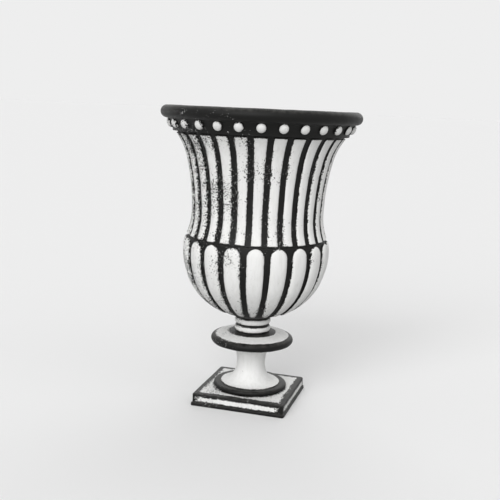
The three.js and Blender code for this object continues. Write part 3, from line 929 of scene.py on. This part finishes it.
# %% [markdown]
# ## Where paint lies and where it rubs off
#
# The finishes need to know three things at each point, and each is stored with the mesh as an attribute.
# `coat` says how far a point lies inside the white work: the brush touched the crowns of reeds, lobes,
# rings and beads and the broad faces, and missed the grooves. It is 1 well inside, 0 in the grooves, where
# a dry brush still left specks, and -1 where no brush came. `edge` says how sharply the surface turns
# outwards, which is where paint rubs through. `hollow` says how sharply it turns inwards, where dirt
# gathers. The lengths in the coats say where the painter's border runs on a piece and over what width it
# fades, so that noise can make it wander later.

# %% Measuring edges and hollows
def curvature_of(piece):
    """How much the surface turns at each point, in turns per metre, positive outwards."""
    mesh = piece.data
    points, normals = points_of(piece), normals_of(piece)
    ends = np.empty(len(mesh.edges) * 2, int)
    mesh.edges.foreach_get("vertices", ends)
    a, b = ends.reshape(-1, 2).T
    span = points[a] - points[b]
    bend = ((normals[a] - normals[b]) * span).sum(axis=1) / np.maximum((span**2).sum(axis=1), 1e-12)
    total = np.bincount(a, bend, len(points)) + np.bincount(b, bend, len(points))
    edges = np.bincount(ends, minlength=len(points))
    return total / np.maximum(edges, 1)


def store(piece, name, values, least=0):
    attribute = piece.data.attributes.new(name, "FLOAT", "POINT")
    attribute.data.foreach_set("value", np.clip(values, least, 1))


def store_wear(piece, edge_size=2.5 * mm):
    """Stores edge and hollow, each 1 where the surface turns within about edge_size."""
    turn_rate = curvature_of(piece) * edge_size
    store(piece, "edge", turn_rate - 0.15)
    store(piece, "hollow", -turn_rate - 0.02)


print(f"the sharpest edge of the plinth turns {curvature_of(plinth).max() * mm:.2f} radians a millimetre")

# %% Where the white coat lies
soft = 8 * mm  # over which a painted border fades
black_edge = 12 * mm  # how much of a broad face stays black at its edge
corner_edge = 14 * mm  # and at the plinth's corners
lobe_touch, collar_touch, bead_touch = 1.15, 0.95, 1.2  # the more, the further down its sides a form is white


def radii_of(points):
    return np.hypot(points[:, 0], points[:, 1])


def past(values, limit, fade):
    """0.5 at the limit, and from there up to 1 and down to 0 over half of fade."""
    return np.clip(0.5 + (values - limit) / fade, 0, 1)


def inside_of(values, low, high, fade):
    """1 well between low and high, 0 well outside, and 0.5 at each of them."""
    return np.minimum(past(values, low, fade), past(-values, -high, fade))


def bell_coat(points):
    heights = np.clip(points[:, 2] - bell_seat, 0, bell_height)
    ground = np.array([bell_radius(height) for height in heights]) - reed_relief
    return (radii_of(points) - ground) / reed_relief


def belly_coat(points):
    reach = np.linalg.norm(points - [0, 0, ball_middle], axis=1)
    up = np.arctan2(radii_of(points), ball_middle - points[:, 2])
    above_tips = past((up - tip_end) * ball, 6 * mm, 10 * mm)
    return np.minimum((reach - ball) / lobe_relief * lobe_touch, above_tips)


def collar_coat(points):
    return (radii_of(points) - collar_core) / collar_groove * collar_touch


def knop_coat(points):
    upper = past(points[:, 2], knop_middle, 6 * mm)
    broad = inside_of(radii_of(points), shoulder_radius + black_edge, knop_radius - black_edge, soft)
    return np.minimum(upper, broad)


def stem_coat(points):
    outside = inside_of(radii_of(points), bore_radius + 6 * mm, trumpet_foot + 1 * mm, 7 * mm)
    return np.where(points[:, 2] > foot_top - 1.5 * mm, outside, 0)


def plinth_coat(points):
    off_middle = np.abs(points[:, :2]).max(axis=1)
    corner_room = np.abs(points[:, :2]).min(axis=1)
    on_top = past(-off_middle, arris + black_edge - die_half, soft) * (points[:, 2] > plinth_top - 1 * mm)
    on_top = np.minimum(on_top, past(radii_of(points), foot_radius, soft))
    band = inside_of(points[:, 2], black_edge, plinth_top - arris - 4.5 * mm, 7 * mm)
    panel = past(-corner_room, corner_edge - die_half, soft)
    on_side = np.where(off_middle > die_half - 2 * mm, np.minimum(band, panel), 0)
    return np.maximum(on_top, on_side)


def rim_coat(points):
    """The rim stays black, but the brush spattered its outside as it painted the beads."""
    below_top = (rim_top - soft - points[:, 2]) / soft
    return np.where(radii_of(points) > band_foot[0] - 2 * mm, np.minimum(below_top, 0), -1)


print("across a border the coat goes", past(np.linspace(-soft, soft, 5), 0, soft).tolist())

# %% Storing the coats and the wear
coats = (plinth_coat, stem_coat, knop_coat, collar_coat, belly_coat, bell_coat, rim_coat)
for casting, coat in zip(castings, coats):
    values = coat(points_of(casting))
    store(casting, "coat", values, least=-1)
    store_wear(casting)
    print(f"{casting.name}: white over {np.mean(values > 0.4):.0%} of its points")

bead_heights = np.repeat([height for _, height in bead_rings], bead_around) / bead_relief
bead_values = np.tile(bead_heights * bead_touch, reed_count)
store(beads, "coat", bead_values)
store_wear(beads)
for fastener in fasteners.values():
    store_wear(fastener, 1 * mm)
print(f"{beads.name}: white over {np.mean(bead_values > 0.4):.0%} of their points")

# %% [markdown]
# ## Smooth faces and sharp edges
#
# Faces are shaded smoothly, and an edge stays sharp where two faces meet at more than 40 degrees, as at the
# foot of a reed or round a hexagon.

# %% Smooth faces and sharp edges
for piece in castings + [beads] + list(fasteners.values()):
    piece.data.shade_smooth()
    piece.data.set_sharp_from_angle(angle=math.radians(40))
print("shaded", len(castings) + 1 + len(fasteners), "pieces")

# %% [markdown]
# ## Node helpers
#
# Finishes are made of nodes. Short helpers keep their code readable: `add` makes a node and fills its
# inputs with numbers or with other nodes' outputs, and the others do arithmetic, map a range, mix two colours
# or make noise. An output knows the tree that it lies in, so they need not be told. A group is made with its
# named inputs and outputs first, and its inside after that.

# %% Node helpers
def put(value, socket):
    """Sets an input to a number or a colour, or links another node's output to it."""
    if isinstance(value, bpy.types.NodeSocket):
        socket.id_data.links.new(value, socket)
    else:
        socket.default_value = value


def add(tree, kind, inputs=None, **settings):
    """A node in a tree. Inputs are named or numbered."""
    node = tree.nodes.new(kind)
    for name, value in settings.items():
        setattr(node, name, value)
    for key, value in (inputs or {}).items():
        put(value, node.inputs[key])
    return node


def calc(operation, *values, clamp=False):
    """The result of one sum, as an output. At least one of its values is an output."""
    tree = next(value.id_data for value in values if isinstance(value, bpy.types.NodeSocket))
    numbered = dict(enumerate(values))
    return add(tree, "ShaderNodeMath", numbered, operation=operation, use_clamp=clamp).outputs[0]


def ramp(value, low, high, to_low=0.0, to_high=1.0):
    """The value moved from one range to another, with soft ends."""
    inputs = {"Value": value, "From Min": low, "From Max": high, "To Min": to_low, "To Max": to_high}
    return add(value.id_data, "ShaderNodeMapRange", inputs, interpolation_type="SMOOTHSTEP").outputs["Result"]


def mixed(share, first, second):
    """Two colours mixed, as an output."""
    return add(share.id_data, "ShaderNodeMix", {0: share, 6: first, 7: second}, data_type="RGBA").outputs[2]


def noise(place, scale, detail=3.0, roughness=0.55):
    """Cloudy noise around 0.5. The scale is how many clouds lie side by side in a metre."""
    inputs = {"Vector": place, "Scale": scale, "Detail": detail, "Roughness": roughness}
    return add(place.id_data, "ShaderNodeTexNoise", inputs).outputs[0]


print("node helpers:", ", ".join(helper.__name__ for helper in (put, add, calc, ramp, mixed, noise)))

# %% Groups, materials and places
def new_group(name, inputs, outputs):
    """An empty group with float inputs, given with their values, and float outputs."""
    group = bpy.data.node_groups.new(name, "ShaderNodeTree")
    for title, value in inputs.items():
        socket = group.interface.new_socket(name=title, in_out="INPUT", socket_type="NodeSocketFloat")
        socket.default_value = value
    for title in outputs:
        group.interface.new_socket(name=title, in_out="OUTPUT", socket_type="NodeSocketFloat")
    return group, add(group, "NodeGroupInput").outputs, add(group, "NodeGroupOutput").inputs


def use_group(tree, group, **inputs):
    """The outputs of a group in a material, with some of its inputs set. Underscores stand for spaces."""
    spaced = {name.replace("_", " "): value for name, value in inputs.items()}
    return add(tree, "ShaderNodeGroup", spaced, node_tree=group).outputs


def new_material(name):
    """A material, its tree, and the inputs of its shader."""
    material = bpy.data.materials.new(name)
    material.use_nodes = True
    return material, material.node_tree, material.node_tree.nodes["Principled BSDF"].inputs


def place_of(tree, stretch=(1, 1, 1)):
    """The place on the urn in metres, scaled along each axis."""
    place = add(tree, "ShaderNodeTexCoord").outputs["Object"]
    if stretch == (1, 1, 1):
        return place
    return add(tree, "ShaderNodeVectorMath", {0: place, 1: stretch}, operation="MULTIPLY").outputs[0]


def attribute(tree, name):
    return add(tree, "ShaderNodeAttribute", attribute_name=name).outputs["Fac"]


print("more helpers:", ", ".join(helper.__name__ for helper in (new_group, use_group, new_material)))

# %% [markdown]
# ## Cast grain
#
# Iron poured in sand takes the sand's grain, with broader lumps under it and a few pits where a grain broke
# away. The group gives a height for a bump, and the pits as a mask for painted shade in them.

# %% Cast grain
cast_grain, grain_in, grain_out = new_group(
    "cast grain", {"Grain size": 1.2, "Lumps": 0.5, "Pitting": 0.3}, ["Height", "Pit shade"]
)
metre = 1000.0  # in the millimetres that grain size is given in
pit_depth = 2.0
here = place_of(cast_grain)
sand = noise(here, calc("DIVIDE", metre, grain_in["Grain size"]), 2.0, 0.6)
lumps = noise(here, 70.0, 2.0)
pit_cells = add(cast_grain, "ShaderNodeTexVoronoi", {"Vector": here, "Scale": 260.0})
pit_places = ramp(noise(here, 34.0, 2.0), 0.56, 0.68)
pit_bowls = ramp(pit_cells.outputs["Distance"], 0.3, 0.12)
pits = calc("MULTIPLY", calc("MULTIPLY", pit_bowls, pit_places), grain_in["Pitting"])
relief = calc("MULTIPLY_ADD", lumps, grain_in["Lumps"], sand)
put(calc("MULTIPLY_ADD", pits, -pit_depth, relief), grain_out["Height"])
# The pits go out as a mask for painted shade, which greys the paint in them.
put(pits, grain_out["Pit shade"])
print(cast_grain.name, "has", len(cast_grain.nodes), "nodes")

# %% [markdown]
# ## Weather side
#
# One side of a garden urn takes most of the rain and sun. The group gives a share that grows towards that
# side and comes in patches, and the wear in the other groups is led by it.

# %% Weather side
weather_side, weather_in, weather_out = new_group("weather side", {"Bias": 0.5}, ["Share"])
weather_direction = (-math.cos(view_turn), -math.sin(view_turn), 0.0)
weather_strength = 0.6
here = place_of(weather_side)
level_place = place_of(weather_side, (1, 1, 0))
facing = add(weather_side, "ShaderNodeVectorMath", {0: level_place}, operation="NORMALIZE").outputs[0]
both = {0: facing, 1: weather_direction}
towards = add(weather_side, "ShaderNodeVectorMath", both, operation="DOT_PRODUCT").outputs["Value"]
biased = calc("MULTIPLY", ramp(towards, -0.2, 1.0), weather_in["Bias"])
patches = ramp(noise(here, 11.0, 3.0), 0.38, 0.7)
put(calc("MULTIPLY", calc("ADD", biased, patches), weather_strength, clamp=True), weather_out["Share"])
print(weather_side.name, "leans towards", [round(v, 2) for v in weather_direction])

# %% [markdown]
# ## Brushed coat
#
# The white was brushed on by hand over black, so its border wanders, breaks into dry specks where the brush
# ran out, and thins along the bristles. The group turns the stored `coat` into a mask of the paint that is
# there now. `Level` is where the border lies, `Wander` how far it strays, `Dry` how much is left in specks,
# and `Wear` how much has rubbed off the edges. Where the brush was dry, specks of noise lift and sink the
# coat before it is cut at the border, so white lies scattered over black and black over white, and where it
# was driest the coat also sinks as a whole.

# %% Brushed coat
brushed_coat, coat_in, coat_out = new_group(
    "brushed coat",
    {"Coat": 0.0, "Edge": 0.0, "Weather": 0.0, "Level": 0.4, "Wander": 0.3, "Dry": 0.5, "Wear": 0.5},
    ["Mask", "Film"],
)
border_blur = 0.035
speck_height = 7.0
dry_loss = 0.7
here = place_of(brushed_coat)
slow = calc("SUBTRACT", noise(here, 46.0, 3.0, 0.6), 0.5)
quick_turns = calc("SUBTRACT", noise(here, 330.0, 3.0, 0.65), 0.5)
specks = noise(here, 270.0, 2.0, 0.7)
bristles = noise(place_of(brushed_coat, (1, 1, 0.12)), 420.0, 2.0)

border = calc("MULTIPLY_ADD", slow, coat_in["Wander"], coat_in["Coat"])
border = calc("MULTIPLY_ADD", quick_turns, calc("MULTIPLY", coat_in["Wander"], 0.5), border)
above = calc("SUBTRACT", border, coat_in["Level"])
dryness = calc("MULTIPLY", coat_in["Dry"], coat_in["Weather"])
lifted = calc("MULTIPLY", calc("SUBTRACT", specks, 0.5), speck_height)
above = calc("MULTIPLY_ADD", lifted, dryness, above)
above = calc("MULTIPLY_ADD", calc("POWER", dryness, 3.0), -dry_loss, above)
painted = ramp(above, -border_blur, border_blur)

rub_depth = calc("MULTIPLY", coat_in["Edge"], coat_in["Wear"])
rub_place = calc("MULTIPLY_ADD", coat_in["Weather"], 0.35, calc("ADD", slow, quick_turns))
rubbed = ramp(calc("MULTIPLY_ADD", rub_place, 0.9, rub_depth), 0.5, 0.62)
rubbed = calc("MULTIPLY", rubbed, ramp(coat_in["Edge"], 0.02, 0.2))
chips = ramp(calc("MULTIPLY_ADD", dryness, 0.16, specks), 0.76, 0.79)
kept = calc("SUBTRACT", calc("SUBTRACT", painted, rubbed), chips, clamp=True)
put(kept, coat_out["Mask"])
put(calc("MULTIPLY", kept, calc("MULTIPLY_ADD", bristles, 0.35, 0.8)), coat_out["Film"])
print(brushed_coat.name, "has", len(brushed_coat.nodes), "nodes")

# %% [markdown]
# ## Dust and streaks
#
# Dust settles on what faces up and in hollows, and rain draws thin streaks down the sides. Both are masks
# of their own, so that black iron can take pale dust and white paint can take grey streaks.

# %% Dust and streaks
dust_and_streaks, dirt_in, dirt_out = new_group(
    "dust and streaks", {"Hollow": 0.0, "Dust": 0.5, "Streaks": 0.5}, ["Dust", "Streaks"]
)
here = place_of(dust_and_streaks)
upright = place_of(dust_and_streaks, (1, 1, 0.05))
normal = add(dust_and_streaks, "ShaderNodeNewGeometry").outputs["Normal"]
upward = add(dust_and_streaks, "ShaderNodeSeparateXYZ", {0: normal}).outputs["Z"]
powder = calc("MULTIPLY_ADD", dirt_in["Hollow"], 0.8, ramp(upward, 0.25, 1.0))
powder = calc("MULTIPLY", powder, ramp(noise(here, 60.0, 4.0, 0.65), 0.3, 0.75))
streaks = ramp(noise(upright, 95.0, 4.0, 0.6), 0.5, 0.72)
streaks = calc("MULTIPLY", streaks, ramp(noise(here, 7.0, 2.0), 0.4, 0.65))
put(calc("MULTIPLY", powder, dirt_in["Dust"], clamp=True), dirt_out["Dust"])
put(calc("MULTIPLY", streaks, dirt_in["Streaks"], clamp=True), dirt_out["Streaks"])
print(dust_and_streaks.name, "has", len(dust_and_streaks.nodes), "nodes")

# %% [markdown]
# ## Painted iron
#
# The castings share one finish: black iron paint, with the brushed white over it where `coat` says so. On the
# rim that is nowhere but in a few specks. The paint's thickness is part of the bump, so its border catches
# the light, and the black is a little smoother than the chalky white. Each kind of piece has its own amounts
# of wandering, dryness and wear, because the painter's hand was freer on some than on others.

# %% Painted iron
ink_black = (0.006, 0.006, 0.0056, 1)
worn_black = (0.022, 0.0215, 0.02, 1)
chalk_white = (0.82, 0.82, 0.81, 1)
brush_white = (0.76, 0.76, 0.745, 1)
streak_and_shade_grey = (0.46, 0.46, 0.44, 1)
pale_dust = (0.36, 0.35, 0.33, 1)


def iron_material(name, level=0.4, wander=0.3, dry=0.5, wear=0.5, dust=0.3):
    material, tree, shader = new_material(name)
    grain = use_group(tree, cast_grain, Grain_size=1.3, Lumps=0.8, Pitting=0.35)
    dirt = use_group(tree, dust_and_streaks, Hollow=attribute(tree, "hollow"), Dust=dust, Streaks=0.35)
    side = use_group(tree, weather_side, Bias=1.0)["Share"]
    edge = attribute(tree, "edge")

    worn = calc("MULTIPLY", edge, ramp(noise(place_of(tree), 150.0), 0.4, 0.7))
    black = mixed(worn, ink_black, worn_black)
    black = mixed(calc("MULTIPLY", dirt["Dust"], 0.5), black, pale_dust)

    led_by = {"Coat": attribute(tree, "coat"), "Edge": edge, "Weather": side}
    coat = use_group(tree, brushed_coat, **led_by, Level=level, Wander=wander, Dry=dry, Wear=wear)
    brushwork = noise(place_of(tree, (1, 1, 0.15)), 130.0, 3.0)
    paint = mixed(ramp(brushwork, 0.35, 0.75), chalk_white, brush_white)
    paint = mixed(calc("MULTIPLY", dirt["Streaks"], 0.6), paint, streak_and_shade_grey)
    # Painted shade: the paint is greyed in the cast pits. The same grey serves the real rain streaks above.
    paint = mixed(calc("MULTIPLY", grain["Pit shade"], 1.2, clamp=True), paint, streak_and_shade_grey)
    put(mixed(coat["Mask"], black, paint), shader["Base Color"])

    rough = ramp(dirt["Dust"], 0.0, 0.6, 0.5, 0.8)
    put(calc("MULTIPLY_ADD", coat["Mask"], 0.16, rough), shader["Roughness"])
    height = calc("MULTIPLY_ADD", coat["Film"], 0.9, calc("MULTIPLY", grain["Height"], 0.5))
    bump = add(tree, "ShaderNodeBump", {"Height": height, "Strength": 0.75, "Distance": 0.4 * mm})
    put(bump.outputs["Normal"], shader["Normal"])
    put(0.17, shader["Specular IOR Level"])
    print(name, "has", len(tree.nodes), "nodes")
    return material


painted_iron = iron_material("painted iron", dry=0.85, wear=0.55)
turned_iron = iron_material("painted iron, turned pieces", level=0.5, wander=0.45, dry=0.45, wear=0.45)
plinth_iron = iron_material("painted iron, plinth", level=0.5, wander=0.75, dry=0.75, wear=0.35)
bead_iron = iron_material("painted iron, beads", level=0.42, wander=0.45, dry=0.7, wear=0.1)
black_iron = iron_material("black iron", level=0.45, dry=0.75, wear=0.0, dust=0.35)

# %% [markdown]
# ## Zinc-plated steel
#
# Bolts, nuts and rod are zinc plated, dull after years of soil and water, with brown rust where the plating
# is broken, first on corners and in threads.

# %% Zinc-plated steel
zinc = (0.36, 0.35, 0.33, 1)
dull_zinc = (0.2, 0.19, 0.175, 1)
rust = (0.13, 0.055, 0.024, 1)
steel, tree, shader = new_material("zinc-plated steel")
here = place_of(tree)
tarnish = ramp(noise(here, 240.0, 4.0, 0.65), 0.35, 0.7)
broken = calc("MULTIPLY_ADD", attribute(tree, "edge"), 0.22, noise(here, 170.0, 4.0, 0.7))
rusted = ramp(broken, 0.58, 0.7)
put(mixed(rusted, mixed(tarnish, zinc, dull_zinc), rust), shader["Base Color"])
put(ramp(rusted, 0.0, 1.0, 0.85, 0.1), shader["Metallic"])
put(ramp(rusted, 0.0, 1.0, 0.42, 0.85), shader["Roughness"])
grain = use_group(tree, cast_grain, Grain_size=0.5, Lumps=0.2, Pitting=0.5)["Height"]
bump = add(tree, "ShaderNodeBump", {"Height": grain, "Strength": 0.4, "Distance": 0.2 * mm})
put(bump.outputs["Normal"], shader["Normal"])
print(steel.name, "has", len(tree.nodes), "nodes")

# %% [markdown]
# ## Dressing the pieces
#
# Each piece gets its finish, stands in for its node and rides on the urn's one body.

# %% Dressing the pieces
def dress(piece, material, node):
    piece.data.materials.clear()
    piece.data.materials.append(material)
    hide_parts(node)
    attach(piece, "root")


dress(plinth, plinth_iron, "plinth")
dress(stem, turned_iron, "stem")
dress(knop, turned_iron, "knop")
dress(collar, turned_iron, "collar")
dress(belly, painted_iron, "belly")
dress(bell, painted_iron, "bell")
dress(rim, black_iron, "rim")
dress(beads, bead_iron, "rim")
for node, fastener in fasteners.items():
    dress(fastener, steel, node)
print("dressed", len(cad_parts), "nodes")

# %% [markdown]
# ## Studio
#
# The floor is pale and plain and runs to the horizon. Three broad, soft lamps far away light the urn: the
# key from a little to the left of the camera, a weak fill from the right, and one from behind. They are
# suns with a wide disc, so the floor is equally bright everywhere. The world gives the rest. Together they
# add up to about 1 on the floor, so that it renders as the colour it is given, and what the camera and
# glossy surfaces see of the world is as pale, so no horizon shows. The floor throws less light back up than
# it shows to the camera, which lets the urn's sides turn darker than the ground behind them.

# %% Studio
floor_white = (0.855, 0.855, 0.855, 1)
floor_bounce = (0.4, 0.4, 0.4, 1)
sky_light = (0.44, 0.44, 0.44, 1)
floor_reach = 300
corners = [(x * floor_reach, y * floor_reach, 0) for x, y in ((-1, -1), (1, -1), (1, 1), (-1, 1))]
floor = build("floor", corners, [[0, 1, 2, 3]])


def in_view(tree):
    """1 for what the camera sees, straight or in a gloss or through glass, and 0 for light on its way."""
    ray = add(tree, "ShaderNodeLightPath").outputs
    straight = calc("MAXIMUM", ray["Is Camera Ray"], ray["Is Glossy Ray"])
    return calc("MAXIMUM", straight, ray["Is Transmission Ray"])


floor_material, tree, shader = new_material("studio floor")
put(mixed(in_view(tree), floor_bounce, floor_white), shader["Base Color"])
put(1, shader["Roughness"])
put(0, shader["Specular IOR Level"])
floor.data.materials.append(floor_material)
floor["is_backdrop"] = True

world = bpy.data.worlds.new("studio")
world.use_nodes = True
bpy.context.scene.world = world
background = world.node_tree.nodes["Background"].inputs
put(mixed(in_view(world.node_tree), sky_light, floor_white), background["Color"])
bpy.context.scene.view_settings.view_transform = "Standard"


def soft_sun(name, turn, elevation, strength, spread):
    """A far lamp: turn is counted from the camera's side towards its right, in degrees."""
    lamp = bpy.data.lights.new(name, "SUN")
    lamp.energy = strength
    lamp.angle = math.radians(spread)
    sun = bpy.data.objects.new(name, lamp)
    around, up = view_turn + math.radians(turn), math.radians(elevation)
    towards = Vector((math.sin(around) * math.cos(up), -math.cos(around) * math.cos(up), math.sin(up)))
    sun.rotation_euler = towards.to_track_quat("Z", "Y").to_euler()
    bpy.context.scene.collection.objects.link(sun)
    print(f"{name}: {strength} W/m2 from {turn} degrees round, {elevation} up")
    return strength * math.sin(up) / math.pi


on_floor = sky_light[0]
on_floor += soft_sun("key", -20, 27, 2.2, 50)
on_floor += soft_sun("fill", 40, 25, 0.4, 70)
on_floor += soft_sun("back", 170, 35, 1.0, 70)
print(f"together they light the floor with {on_floor:.2f}")

# %% [markdown]
# ## Sizes at the end
#
# The growth from the frame's box to the dressed urn's box is printed in millimetres, so that anyone can see
# whether the skins stayed inside the castings' places.

# %% Sizes at the end
dressed_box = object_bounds()
growth = [[(after - before) / mm for before, after in zip(*pair)] for pair in zip(cad_box, dressed_box)]
print("growth, in mm:", np.round(growth, 2).tolist())
